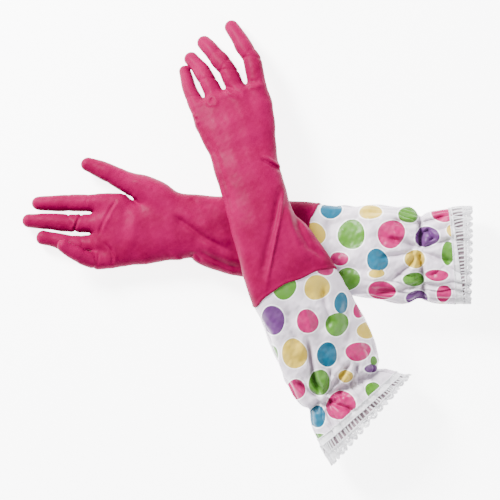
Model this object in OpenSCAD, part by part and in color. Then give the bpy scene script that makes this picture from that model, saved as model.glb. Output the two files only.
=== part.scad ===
// Pair of long rubber household gloves with printed sleeves and lace trim, laid crossed on a surface.
// X runs along the lower (right) glove, Y along the upper (left) one, +Z is up from the surface.
// The origin is on the surface, under the middle of the pair. All sizes are in millimetres.

/* [Rubber] */
// Wall of the dipped rubber shell
rubber_wall = 0.8; // [0.6:0.1:1.0]
// Height of the rolled bead on the rubber hem
bead_rise = 1.0; // [0.6:0.1:1.4]
// Fullness of the fingers, 1 as worn
finger_fill = 1.0; // [0.9:0.01:1.0]
// Share of each finger root that reaches back behind its knuckle
root_reach = 0.6; // [0.4:0.05:0.7]

/* [Sleeve] */
// Wall of the printed sleeve
sleeve_wall = 0.6; // [0.4:0.1:0.8]
// Depth of the sleeve inside the rubber hem
sleeve_depth = 1.6; // [1.5:0.1:2.0]
// Width of the side seam welt, in degrees round the sleeve
seam_spread = 3; // [2:1:5]

/* [Lace] */
// Scallops round one lace edging
scallops = 42; // [30:1:50]
// Bars round one lace ladder
ladder_bars = 56; // [40:1:80]
// Sewing stitches round one lace tape
stitches = 48; // [30:1:60]
// Thickness of the lace
lace_wall = 0.6; // [0.4:0.1:0.8]

/* [Fineness] */
// Sides round the sleeve and gauntlet
arm_sides = 28; // [20:4:36]
// Sides round the palm
palm_sides = 24; // [24:24:24]
// Sides round a finger
finger_sides = 16; // [12:4:20]

/* [Hidden] */
pink = "#DC2468";
deep_pink = "#B4144E";
cream = "#ECE6EE";
white = "#F4F2F6";
band_colour = "#D8D2DA";
squareness = 2.25; // 2 is an ellipse, more is boxier
gap = 0.1; // between layers that lie on each other
middle_y = 4; // the stations' Y at the middle of the pair, which is where the origin goes
weld_wall = 0.5; // joins the sleeve to the rubber
elastic_wall = 0.8;
casing_wall = 0.6; // cloth channel over the elastic
heading_step = 0.05; // either side of a place, when its direction is taken
bar_spread = 1.2; // width of a ladder bar, in degrees round the sleeve
stitch_spread = 3; // length of a stitch, in degrees round the sleeve
edging_rings = [1, 0.5, 0]; // shares of a scallop, from its free edge to its foot
scallop_foot = 0.55; // share of the edging that the hollows between scallops keep
dome_angles = [25, 50, 70, 84]; // rings of a fingertip
dome_reach = 1.15; // of the tip's half width, where a finger starts to round off
finger_rings = 5; // spans between the knuckle and the fingertip's dome
tip_fill = 0.5; // thickest wall a small fingertip ring may have, as a share of its half width

// A station is [x, y, z, half width, half height, extra turn in degrees].
// Arm stations run from the lace edge to the wrist.
LADDER_END = 1;
MOUTH = 2;
ELASTIC = 4;
HEM = 8;
WRIST = 12;
// Places along the arm where layers that lie on each other share their rings
EDGING_FOOT = LADDER_END - 0.1;
BAR_PLACES = [LADDER_END - 0.06, LADDER_END + 0.48];
TAPE_PLACES = [MOUTH - 0.5, MOUTH - 0.1, MOUTH + 0.3];
STITCH_PLACES = [MOUTH + 0.05, MOUTH + 0.15];
ELASTIC_PLACES = [ELASTIC - 0.15, ELASTIC + 0.15];
JOIN_PLACES = [HEM - 0.15, HEM + 0.2];
SLEEVE_PLACES = concat([MOUTH - 0.1, MOUTH + 0.3, MOUTH + 0.9, MOUTH + 1.5], ELASTIC_PLACES,
    [ELASTIC + 0.5, ELASTIC + 1, ELASTIC + 1.6, ELASTIC + 2.3, ELASTIC + 3, ELASTIC + 3.6], JOIN_PLACES);
// Runs of the sleeve's own rings that the seam welt follows, either side of the elastic
CUFF_SEAM = [2 : 3];
BODY_SEAM = [6 : 11];
BEAD_PLACES = [HEM - 0.25, HEM - 0.18];
GAUNTLET_SPANS = 8;
GAUNTLET_PLACES = concat(BEAD_PLACES, JOIN_PLACES,
    [for (i = [1 : GAUNTLET_SPANS]) HEM + (WRIST - HEM) * i / GAUNTLET_SPANS]);

right_arm = [
    [245, -11, 30.0, 52.5, 29.5],
    [232, -11, 29.5, 52.0, 29.5],
    [222, -12, 29.0, 51.5, 29.0],
    [204, -13, 28.8, 51.0, 28.5],
    [184, -13.5, 27.2, 48.0, 26.5],
    [164, -12, 28.0, 53.0, 30.5],
    [130, -8, 26.5, 52.0, 29.0],
    [95, -5, 21.6, 49.0, 24.0],
    [56, 2, 23.3, 46.0, 21.0],
    [20, 6, 19.8, 44.0, 20.5],
    [-14, 9, 19.8, 43.0, 20.5],
    [-42, 15, 20.3, 40.0, 21.0],
    [-62, 20.5, 20.0, 35.5, 19.5, 15]
];

left_arm = [
    [130, -200, 30.0, 57.5, 29.5],
    [121.5, -189.5, 30.0, 54.5, 29.0],
    [114, -179, 30.0, 52.0, 29.0],
    [107, -169, 30.0, 50.0, 28.0],
    [100, -158, 30.8, 46.5, 27.0],
    [92, -143, 34.5, 51.5, 29.5],
    [80, -113, 42.0, 54.5, 30.5],
    [62, -78, 56.2, 52.5, 29.0],
    [42, -37, 69.8, 49.0, 26.0],
    [27, -6, 70.5, 43.5, 24.0],
    [12, 23, 68.5, 36.0, 23.0],
    [3, 55, 62.0, 34.5, 21.0],
    [-6, 86, 54.0, 35.5, 19.5]
];

// Palm stations run from the wrist to the knuckles; the first three round off about the wrist hinge.
right_palm_line = [
    [-62, 21, 19.5, 28.5, 14.5],
    [-66, 21, 19.5, 31.5, 16.2],
    [-71, 21, 19.5, 34.5, 17.0],
    [-86, 20, 19.0, 37.0, 17.5],
    [-102, 17.5, 18.0, 36.5, 17.0],
    [-116, 14.5, 17.0, 35.5, 16.5],
    [-130, 13.5, 16.5, 35.5, 16.0],
    [-146, 15.0, 16.0, 38.5, 15.0, 3],
    [-161, 16.0, 15.5, 40.0, 14.0, 4]
];

left_palm_line = [
    [-6, 86.5, 53.7, 28.0, 14.5],
    [-7, 91, 52.6, 31.0, 16.2],
    [-8, 95, 51.5, 33.5, 17.0],
    [-10, 106, 48.5, 37.0, 17.0],
    [-13, 118, 45.5, 40.0, 17.0],
    [-16, 130, 42.5, 42.0, 16.5],
    [-19, 141, 40.0, 43.0, 15.5, 3],
    [-21.5, 149, 38.0, 43.0, 15.0, 5],
    [-23.5, 154.5, 36.6, 41.0, 14.0, 6]
];

// Rows and sides left open in the palm, where the thumb joins: [first row, last row, first side, last side]
right_thumb_port = [4, 7, -2, 3];
left_thumb_port = [3, 5, 16, 22];

// Digit stations run from the knuckle hinge to the fingertip.
right_thumb_line = [
    [-130, 66, 17, 11.8, 11.6],
    [-146, 73.5, 17.5, 10.8, 10.6],
    [-163, 82, 17, 9.8, 9.6],
    [-181, 89, 15, 7.8, 7.8]
];
right_index_line = [
    [-172, 46.6, 15, 9.7, 10],
    [-192, 46.5, 14, 9.4, 9.6],
    [-214, 46.5, 12.5, 8.8, 8.8],
    [-236, 46, 11, 7.6, 7.6]
];
right_middle_line = [
    [-172, 24, 15, 10.1, 10.1],
    [-196, 24, 14, 10, 10],
    [-221, 25.8, 12.5, 9, 9],
    [-246, 27, 11, 8, 8]
];
right_ring_line = [
    [-172, 2, 13.5, 9.5, 9.6],
    [-190, 1, 11.5, 9.4, 9.4],
    [-210, 3.5, 10.2, 8.8, 8.8],
    [-231, 8.5, 9.5, 7.6, 7.6]
];
right_little_line = [
    [-172, -17.5, 20, 8.6, 8.6],
    [-184, -14.5, 25.5, 8.2, 8.2],
    [-196, -8, 30.5, 7.7, 7.7],
    [-207, -1, 34, 7, 7]
];

left_thumb_line = [
    [11, 109, 20.5, 11, 10.8],
    [5, 126, 16, 10.4, 10.2],
    [-6, 144, 12.5, 9.4, 9.4],
    [-18, 160, 10, 7.8, 7.8]
];
left_index_line = [
    [4.5, 181, 32.5, 9.9, 10],
    [0.5, 202, 27.5, 9.9, 10],
    [-10.5, 222, 20, 9.2, 9.2],
    [-22.5, 241.5, 10, 7.7, 7.7]
];
left_middle_line = [
    [-18.5, 174.5, 32.5, 10, 10],
    [-27, 192, 27.5, 10, 10],
    [-39.5, 209, 19, 9.3, 9.3],
    [-53, 224, 9.5, 7.8, 7.8]
];
left_ring_line = [
    [-41, 165.5, 32, 9.7, 9.8],
    [-49, 180.5, 26.5, 9.7, 9.7],
    [-58, 195, 18, 8.9, 8.9],
    [-67, 206, 9.5, 7.5, 7.5]
];
left_little_line = [
    [-61, 154.5, 31.5, 8.6, 8.8],
    [-66.5, 167, 25, 8, 8.2],
    [-71, 180, 17, 7.4, 7.4],
    [-74, 192, 9, 6.6, 6.6]
];

function place(s) = [s[0], s[1], s[2]];
function turn_of(s) = len(s) > 5 ? s[5] : 0;
function unit(v) = v / norm(v);
function flat(lists) = [for (l = lists) each l];

// Catmull-Rom value of a list of equal-length number lists at a fractional index
function padded(s) = [s[0], s[1], s[2], s[3], s[4], turn_of(s)];
function along(line, t) =
    let (last = len(line) - 1,
        i = min(max(floor(t), 0), last - 1),
        f = t - i,
        a = padded(line[max(i - 1, 0)]),
        b = padded(line[i]),
        c = padded(line[i + 1]),
        d = padded(line[min(i + 2, last)]))
    0.5 * (2 * b + (c - a) * f + (2 * a - 5 * b + 4 * c - d) * f * f + (3 * b - a - 3 * c + d) * f * f * f);
function heading(line, t) =
    let (last = len(line) - 1,
        ahead = along(line, min(t + heading_step, last)),
        behind = along(line, max(t - heading_step, 0)))
    unit(place(ahead) - place(behind));

// Point of an oval section square to the line: angle 0 is the thumb side, 90 is the top
function rounded(c) = sign(c) * pow(abs(c), 2 / squareness);
function oval_point(s, dir, angle, grow, lowest = 0) =
    let (level = unit([dir.y, -dir.x, 0]),
        w = turn_of(s),
        across = [level.x * cos(w) - level.y * sin(w), level.x * sin(w) + level.y * cos(w), 0],
        up = cross(level, dir),
        sideways = across * (s[3] + grow) * rounded(cos(angle)),
        upward = up * (s[4] + grow) * rounded(sin(angle)),
        p = place(s) + sideways + upward)
    [p.x, p.y - middle_y, max(p.z, lowest)];
function skin_point(line, t, angle, grow, lowest = 0) =
    oval_point(along(line, t), heading(line, t), angle, grow, lowest);
function ring(line, t, sides, grow, lowest = 0) =
    [for (k = [0 : sides - 1]) skin_point(line, t, 360 * k / sides, grow, lowest)];
function steps(from, to, count) = [for (i = [0 : count]) from + (to - from) * i / count];

// Faces of a hollow skin made of outer rings followed by as many inner rings, clockwise seen from outside
function pair_of(a, b, c, d) = [[a, b, c], [a, c, d]];
function skin_faces(rings, sides, capped, port) =
    let (inner = rings * sides,
        last = rings - 1,
        top = function (i, k) i * sides + (k + sides) % sides,
        low = function (i, k) inner + i * sides + (k + sides) % sides,
        shut = function (i, k) port == [] || i < port[0] || i >= port[1]
            || (k < port[2] && k + sides >= port[3]) || (k >= port[3] && k - sides < port[2])
            || (k >= port[3] && k < port[2] + sides),
        faces = flat(flat([
        [for (i = [0 : last - 1], k = [0 : sides - 1]) if (shut(i, k))
            pair_of(top(i, k), top(i + 1, k), top(i + 1, k + 1), top(i, k + 1))],
        [for (i = [0 : last - 1], k = [0 : sides - 1]) if (shut(i, k))
            pair_of(low(i, k), low(i, k + 1), low(i + 1, k + 1), low(i + 1, k))],
        [for (k = [0 : sides - 1]) pair_of(top(0, k), top(0, k + 1), low(0, k + 1), low(0, k))],
        capped ? [
            [[for (k = [sides - 1 : -1 : 0]) top(last, k)]],
            [[for (k = [0 : sides - 1]) low(last, k)]]
        ] : [for (k = [0 : sides - 1])
            pair_of(top(last, k + 1), top(last, k), low(last, k), low(last, k + 1))],
        port == [] ? [] : [for (k = [port[2] : port[3] - 1])
            pair_of(top(port[0], k + 1), top(port[0], k), low(port[0], k), low(port[0], k + 1))],
        port == [] ? [] : [for (k = [port[2] : port[3] - 1])
            pair_of(top(port[1], k), top(port[1], k + 1), low(port[1], k + 1), low(port[1], k))],
        port == [] ? [] : [for (i = [port[0] : port[1] - 1])
            pair_of(top(i, port[2]), top(i + 1, port[2]), low(i + 1, port[2]), low(i, port[2]))],
        port == [] ? [] : [for (i = [port[0] : port[1] - 1])
            pair_of(top(i + 1, port[3]), top(i, port[3]), low(i, port[3]), low(i + 1, port[3]))]
        ])))
    [for (f = faces) [for (i = [len(f) - 1 : -1 : 0]) f[i]]];

// Hollow tube along a line, through the places given
module tube(line, places, sides, wall, grow = 0, port = []) {
    points = concat(
        flat([for (t = places) ring(line, t, sides, grow)]),
        flat([for (t = places) ring(line, t, sides, grow - wall, wall)]));
    polyhedron(points, skin_faces(len(places), sides, false, port), convexity = 6);
}

// Solid strip that lies on the line's outside
module strip(line, places, angle, spread, low, high) {
    count = len(places) - 1;
    points = flat([for (t = places) [
        skin_point(line, t, angle - spread / 2, low),
        skin_point(line, t, angle + spread / 2, low),
        skin_point(line, t, angle + spread / 2, high),
        skin_point(line, t, angle - spread / 2, high)
    ]]);
    sides = flat([for (i = [0 : count - 1], k = [0 : 3])
        pair_of(4 * i + k, 4 * i + 4 + k, 4 * i + 4 + (k + 1) % 4, 4 * i + (k + 1) % 4)]);
    ends = [[0, 1, 2, 3], [4 * count + 3, 4 * count + 2, 4 * count + 1, 4 * count]];
    polyhedron(points, concat(sides, ends), convexity = 4);
}

// Finger of a glove: open, rounded root about the knuckle, closed round tip
function digit_body(line) =
    let (last = len(line) - 1,
        root = along(line, 0),
        start = heading(line, 0),
        reach = root[4] * root_reach,
        tip = along(line, last),
        finish = heading(line, last),
        dome_share = dome_reach * tip[3] / norm(place(tip) - place(line[last - 1])))
    concat(
        [for (b = [reach, reach / 2]) let (r = sqrt(1 - pow(b / root[4], 2)))
            [place(root) - start * b, start, root[3] * r, root[4] * r]],
        [for (t = steps(0, last - dome_share, finger_rings)) let (s = along(line, t))
            [place(s), heading(line, t), s[3], s[4]]],
        [for (a = dome_angles)
            [place(tip) - finish * tip[3] * (1 - sin(a)), finish, tip[3] * cos(a), tip[4] * cos(a)]]);
module digit(line) {
    body = digit_body(line);
    sides = finger_sides;
    rows = len(body);
    rim = function (b, shrink, back)
        let (station = concat(b[0] - b[1] * back, [b[2] * finger_fill, b[3] * finger_fill]))
        [for (k = [0 : sides - 1]) oval_point(station, b[1], 360 * k / sides, -shrink)];
    points = concat(
        flat([for (b = body) rim(b, 0, 0)]),
        flat([for (i = [0 : rows - 1]) let (b = body[i], inside = min(rubber_wall, b[3] * tip_fill))
            rim(b, inside, i >= rows - len(dome_angles) ? rubber_wall : 0)]));
    polyhedron(points, skin_faces(rows, sides, true, []), convexity = 6);
}

module palm(line, port) {
    color(pink) tube(line, [for (i = [0 : len(line) - 1]) i], palm_sides, rubber_wall, 0, port);
}
module finger(line) {
    color(pink) digit(line);
}
module gauntlet(line) {
    color(pink) tube(line, GAUNTLET_PLACES, arm_sides, rubber_wall);
}
module hem_bead(line) {
    color(deep_pink) tube(line, BEAD_PLACES, arm_sides, bead_rise - gap, bead_rise);
}
module join_band(line) {
    color(band_colour) tube(line, JOIN_PLACES, arm_sides, weld_wall, -rubber_wall - gap);
}
module sleeve(line) {
    color(cream) tube(line, SLEEVE_PLACES, arm_sides, sleeve_wall, -sleeve_depth);
}
module side_seam(line) {
    for (run = [CUFF_SEAM, BODY_SEAM])
        color(white) strip(line, [for (i = run) SLEEVE_PLACES[i]], 180, seam_spread,
            gap - sleeve_depth, -gap);
}
module elastic(line) {
    color(white) tube(line, ELASTIC_PLACES, arm_sides, elastic_wall,
        gap + elastic_wall - sleeve_depth);
}
module elastic_casing(line) {
    color(cream) tube(line, ELASTIC_PLACES, arm_sides, casing_wall,
        2 * gap + elastic_wall + casing_wall - sleeve_depth);
}
module lace_tape(line) {
    color(white) tube(line, TAPE_PLACES, arm_sides, lace_wall, gap + lace_wall - sleeve_depth);
}
module lace_stitching(line) {
    for (i = [0 : stitches - 1])
        color(white) strip(line, STITCH_PLACES, 360 * (i + 0.5) / stitches, stitch_spread,
            2 * gap + lace_wall - sleeve_depth, 2 * gap + 2 * lace_wall - sleeve_depth);
}
module lace_ladder(line) {
    for (i = [0 : ladder_bars - 1])
        color(white) strip(line, BAR_PLACES, 360 * i / ladder_bars, bar_spread,
            -sleeve_depth, lace_wall - sleeve_depth);
}
module lace_edging(line) {
    sides = scallops * 4;
    wave = function (k) scallop_foot + (1 - scallop_foot) * abs(sin(45 * k));
    edge = function (share, grow, lowest) [for (k = [0 : sides - 1])
        skin_point(line, EDGING_FOOT * (1 - share * wave(k)), 360 * k / sides, grow, lowest)];
    points = concat(
        flat([for (share = edging_rings) edge(share, lace_wall - sleeve_depth, 0)]),
        flat([for (share = edging_rings) edge(share, -sleeve_depth, lace_wall)]));
    color(white) polyhedron(points, skin_faces(len(edging_rings), sides, false, []), convexity = 4);
}

gauntlet(right_arm);  // right_gauntlet
hem_bead(right_arm);  // right_hem_bead
join_band(right_arm);  // right_join_band
sleeve(right_arm);  // right_sleeve
side_seam(right_arm);  // right_side_seam
elastic(right_arm);  // right_elastic
elastic_casing(right_arm);  // right_elastic_casing
lace_tape(right_arm);  // right_lace_tape
lace_stitching(right_arm);  // right_lace_stitching
lace_ladder(right_arm);  // right_lace_ladder
lace_edging(right_arm);  // right_lace_edging
palm(right_palm_line, right_thumb_port);  // right_palm
finger(right_thumb_line);  // right_thumb
finger(right_index_line);  // right_index
finger(right_middle_line);  // right_middle
finger(right_ring_line);  // right_ring
finger(right_little_line);  // right_little
gauntlet(left_arm);  // left_gauntlet
hem_bead(left_arm);  // left_hem_bead
join_band(left_arm);  // left_join_band
sleeve(left_arm);  // left_sleeve
side_seam(left_arm);  // left_side_seam
elastic(left_arm);  // left_elastic
elastic_casing(left_arm);  // left_elastic_casing
lace_tape(left_arm);  // left_lace_tape
lace_stitching(left_arm);  // left_lace_stitching
lace_ladder(left_arm);  // left_lace_ladder
lace_edging(left_arm);  // left_lace_edging
palm(left_palm_line, left_thumb_port);  // left_palm
finger(left_thumb_line);  // left_thumb
finger(left_index_line);  // left_index
finger(left_middle_line);  // left_middle
finger(left_ring_line);  // left_ring
finger(left_little_line);  // left_little
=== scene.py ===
"""Looks of a crossed pair of rubber gloves with printed sleeves and lace trim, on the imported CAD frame."""

import math

import bpy
import numpy as np
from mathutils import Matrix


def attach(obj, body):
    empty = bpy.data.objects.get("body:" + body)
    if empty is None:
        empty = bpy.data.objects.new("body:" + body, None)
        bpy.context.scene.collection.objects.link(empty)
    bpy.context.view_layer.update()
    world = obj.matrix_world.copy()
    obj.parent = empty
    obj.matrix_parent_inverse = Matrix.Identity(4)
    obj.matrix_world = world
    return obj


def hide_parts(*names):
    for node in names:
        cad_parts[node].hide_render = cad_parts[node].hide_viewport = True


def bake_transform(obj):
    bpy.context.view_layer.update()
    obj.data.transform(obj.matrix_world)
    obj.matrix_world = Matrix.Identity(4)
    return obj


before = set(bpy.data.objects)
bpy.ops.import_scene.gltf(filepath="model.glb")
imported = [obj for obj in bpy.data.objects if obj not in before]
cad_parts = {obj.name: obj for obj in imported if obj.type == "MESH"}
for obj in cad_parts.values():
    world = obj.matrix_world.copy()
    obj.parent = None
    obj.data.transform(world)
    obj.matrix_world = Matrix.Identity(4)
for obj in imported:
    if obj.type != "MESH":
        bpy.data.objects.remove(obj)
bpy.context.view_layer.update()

# -------- driving dimensions, millimetres
MM = 0.001
MIDDLE_Y = 4.0  # stations are typed with their own Y, and the frame's origin is this far along it
SQUARENESS = 2.25  # power of the rounded cross-sections; 2 would be an ellipse
TURN = 2 * math.pi
FAR = 1e3  # stands for a distance beyond any that matters
FLOOR_CLEAR = 0.15

SKIN_STEP = 1.15  # grid step of the rubber skins
SKIN_MARGIN = 5.0  # empty grid round a skin
PALM_END = 9.0  # how far the palm runs past its last station
DIGIT_FILLET = 1.6  # rounding between two digits
WEB_FILLET = 6.0  # rounding where a digit leaves the palm
HEM_FILLET = 0.8
HEM_BEAD = 0.75  # height of the rolled bead along the hem
ROWS_BEFORE_HEM = 2  # arm stations that the trunk line keeps on the sleeve's side of the hem
STATION_GAP = 40.0  # distance between two stations near the hem
HEM_OVERLAP = 0.16  # share of that gap by which the rubber runs on past its station
OPENING_INSET = 4.5  # the rubber's end is open this far inside its outline
OPENING_END = 2.6  # and up to this place on the trunk line
DIGIT_REACH = 4.0  # a digit's skin lies within this of its chain of balls
BEND_LENGTH = 20.0  # a length past a digit's knuckle; the ends it gives are worked out but not used

SLEEVE_SIDES = 440
SLEEVE_ROWS = 260
SLEEVE_DEPTH = 1.6  # how far the cloth lies inside the arm's outline, and so inside the rubber hem
CLOTH_WALL = 0.35
CLOTH_PAST_MOUTH = 1.5
CLOTH_IN_RUBBER = 9.0  # how far the sleeve runs on inside the rubber
WIDE_FOLDS = 9  # folds round the arm
NARROW_PLEATS = 19  # pleats round the elastic
RUFFLE_ROOT = 2.0  # height of the gathers at the elastic
RUFFLE_GAIN = 3.0  # how much they grow on the way to the mouth
BLOUSE_HEIGHT = 4.2  # swell of the cloth on the hand's side of the elastic
BLOUSE_PEAK = 12.0  # and its distance from the elastic
ELASTIC_PINCH = 4.2
ARM_RADIUS = 46.0  # turns an angle round the arm into a length
CALM_BY_HEM = 4.0  # the cloth lies smooth this close to the hem
CREASE_GAIN = 2.2
CASING_HALF = 4.2
SEAM_HALF_ANGLE = 0.035

TAPE_REACH = 4.5  # from the mouth's station out to the tape's outer edge
TAPE_OVERLAP = 2.5  # and in to its inner edge
LADDER_WIDTH = 6.5
LACE_LIFT = 0.35
CORD_LIFT = 1.1  # for the cords that lie on the tape's edges
BARS = 92
BAR_RADIUS = 0.85
SCALLOPS = 44
SCALLOP_DEPTH = 5.6
SCALLOP_SQUARENESS = 0.75
SCALLOP_FOOT = 1.2  # from the rail to the foot of the scallops
PICOTS = 7  # small loops on each scallop
THREAD_RADIUS = 0.55
STITCHES = 96
STITCH_RADIUS = 0.25

# An arm station is [x, y, z, half width, half height], from the lace edge to the wrist
ARM = {
    "right": [
        [245, -11, 30, 52.5, 29.5], [232, -11, 29.5, 52, 29.5], [222, -12, 29, 51.5, 29],
        [204, -13, 28.8, 51, 28.5], [184, -13.5, 27.2, 48, 26.5], [164, -12, 28, 53, 30.5],
        [130, -8, 26.5, 52, 29], [95, -5, 21.6, 49, 24], [56, 2, 23.3, 46, 21],
        [20, 6, 19.8, 44, 20.5], [-14, 9, 19.8, 43, 20.5], [-42, 15, 20.3, 40, 21],
        [-62, 20.5, 20, 35.5, 19.5]],
    "left": [
        [130, -200, 30, 57.5, 29.5], [121.5, -189.5, 30, 54.5, 29], [114, -179, 30, 52, 29],
        [107, -169, 30, 50, 28], [100, -158, 30.8, 46.5, 27], [92, -143, 34.5, 51.5, 29.5],
        [80, -113, 42, 54.5, 30.5], [62, -78, 56.2, 52.5, 29], [42, -37, 69.8, 49, 26],
        [27, -6, 70.5, 43.5, 24], [12, 23, 68.5, 36, 23], [3, 55, 62, 34.5, 21],
        [-6, 86, 54, 35.5, 19.5]],
}
MOUTH, ELASTIC, HEM = 2, 4, 8  # numbers of the arm stations there
# Palm stations carry on from the wrist to the knuckles
PALM = {
    "right": [
        [-86, 20, 19.5, 36.5, 18], [-102, 18, 18.5, 36, 17.5], [-116, 14.5, 17.5, 35.5, 17],
        [-130, 13.5, 17, 35.5, 16.5], [-146, 15.5, 16.5, 38, 15.5], [-158, 15.8, 15.8, 39.5, 13.5],
        [-167, 15.8, 15.5, 39, 11]],
    "left": [
        [-10, 106, 48.5, 37, 17], [-13, 118, 45.5, 40, 17], [-16, 130, 42.5, 42, 16.5],
        [-19, 141, 40, 43, 15.5], [-22, 151, 37.5, 42.5, 14], [-25, 161, 35, 41, 12]],
}
# A digit's line starts inside the hand: [x, y, z, radius]; its third row is near the knuckle hinge
DIGITS = {
    "right": {
        "thumb": [[-84, 36, 18.5, 17.5], [-99, 49.5, 18.8, 17.3], [-115, 60, 18, 15.8],
                  [-132, 67, 17.3, 12.6], [-147, 74, 17.5, 11], [-164, 82.3, 17, 10],
                  [-181, 89, 15, 7.9]],
        "index": [[-146, 45.5, 16.5, 10.8], [-160, 46.4, 15.8, 10.2], [-172, 46.6, 15, 9.7],
                  [-192, 46.5, 14, 9.4], [-214, 46.5, 12.5, 8.9], [-236, 46, 11, 7.7]],
        "middle": [[-146, 24.5, 17, 11], [-160, 24.2, 16, 10.4], [-172, 24, 15, 10.1],
                   [-196, 24, 14, 9.9], [-221, 25.8, 12.5, 9.1], [-246, 27, 11, 8]],
        "ring": [[-146, 4, 16.5, 11], [-160, 2.8, 15, 10.2], [-172, 2, 13.5, 9.5],
                 [-190, 1, 11.5, 9.4], [-210, 3.5, 10.2, 8.8], [-231, 8.5, 9.5, 7.7]],
        "little": [[-144, -13, 16, 10.4], [-158, -15.8, 16.6, 9.8], [-172, -17.5, 20, 9.2],
                   [-184, -14.5, 25.5, 8.5], [-196, -8, 30.5, 7.9], [-207, -1, 34, 7]],
    },
    "left": {
        "thumb": [[-2, 94, 40, 15], [5, 102, 30, 13], [11, 109, 20.5, 11.2],
                  [5, 126, 16, 10.4], [-6, 144, 12.5, 9.4], [-18, 160, 10, 7.8]],
        "index": [[9, 154, 37, 11.5], [7, 168, 35.4, 10.6], [4.5, 181, 32.5, 10.1],
                  [0.5, 202, 27.5, 10], [-10.5, 222, 20, 9.3], [-22.5, 241.5, 10, 7.8]],
        "middle": [[-12, 150, 38, 11.5], [-14.5, 163, 36, 10.6], [-18.5, 174.5, 32.5, 10.1],
                   [-27, 192, 27.5, 10.1], [-39.5, 209, 19, 9.4], [-53, 224, 9.5, 7.9]],
        "ring": [[-33, 143, 37.5, 11.2], [-37, 155, 35.5, 10.3], [-41, 165.5, 32, 9.8],
                 [-49, 180.5, 26.5, 9.7], [-58, 195, 18, 8.9], [-67, 206, 9.5, 7.6]],
        "little": [[-52, 134, 36, 10.2], [-56, 144.5, 34.8, 9.4], [-61, 154.5, 31.5, 8.8],
                   [-66.5, 167, 25, 8.2], [-71, 180, 17, 7.5], [-74, 192, 9, 6.7]],
    },
}
KNUCKLE_ROW = {"right": {"thumb": 3}, "left": {}}  # the row of the hinge where it isn't the third
# Two points at the wrist; they are turned into frame places but not used
WRIST_BEND = {
    "right": ([-56, 21, 19.5], [-88, 20, 19]),
    "left": ([-3, 70, 58], [-9, 98, 51]),
}

# Relief seen from above: [points, half width of the mark, height], a negative height is a crease
CREASES = {
    "right": [
        ([(-170, 8), (-164, 24), (-156, 39), (-147, 53)], 1.6, -1.5),
        ([(-167, 8), (-161, 24), (-153, 39), (-144, 53)], 2.2, 1),
        ([(-153.5, -24), (-153.5, -12), (-156, -5), (-165, 6)], 1.5, -1.6),
        ([(-150.5, -24), (-150.5, -10), (-152, -3), (-160, 8)], 2, 0.9),
        ([(-137, 55), (-131, 49), (-123, 43)], 2, -1.8), ([(-133, 57), (-127, 52), (-120, 45)], 2.6, 0.8),
        ([(-133, 46), (-130, 30), (-131, 12), (-133, -6)], 5, 1.3),
        ([(-143, 46), (-141, 28), (-143, 8), (-146, -10)], 5, -1.2),
        ([(-108, 60), (-118, 66), (-132, 74)], 3, 0.8),
        ([(-90, 34), (-72, 22), (-50, 6), (-20, -10)], 3.2, -2.4),
        ([(-84, 40), (-64, 27), (-42, 12), (-14, -4)], 5.5, 1.8),
        ([(-66, -2), (-46, -14), (-28, -22), (-10, -27)], 3, -2.2),
        ([(-60, 6), (-40, -6), (-22, -16), (-4, -20)], 4.5, 1.4),
        ([(-70, -11), (-62, -10), (-54, -19)], 2.4, -1.6), ([(-84, -14), (-80, -16), (-76, -15)], 1.5, 0.9),
        ([(-70, 52), (-58, 44), (-44, 42)], 3.5, -1.1),
    ],
    "left": [
        ([(-5, 177), (-1, 173), (6, 173), (11, 178)], 2.4, 1.1),
        ([(-2, 181), (3, 178), (8, 181)], 2.4, -1.5), ([(-33, 173), (-24, 166), (-12, 160)], 2.4, 1.6),
        ([(-30, 176), (-20, 170), (-9, 165)], 2, -1.4),
        ([(-51, 159), (-47, 153), (-40, 154), (-36, 159)], 2.2, 1.1), ([(-46, 160), (-42, 158)], 2.2, -1.4),
        ([(36, 68), (30, 30), (23, -4), (13, -56)], 2, 2.5),
        ([(31, 68), (25, 30), (17, -4), (7, -50)], 4, -2.3),
        ([(44, 44), (50, 20), (62, -2), (82, -16)], 3.4, -3),
        ([(38, 50), (43, 22), (50, -2), (62, -20)], 4, 1.9), ([(8, 94), (20, 88), (34, 79)], 1.8, -2.2),
        ([(10, 98), (22, 91), (36, 83)], 2, 1.5),
        ([(-60, 131), (-44, 98), (-31, 58), (-22, 22)], 3, 0.9),
        ([(-54, 128), (-38, 96), (-25, 58), (-16, 22)], 2.6, -0.9), ([(-66, 143), (-60, 139)], 2, 1.2),
        ([(-63, 135), (-57, 133)], 2, 1.2),
    ],
}
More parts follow.
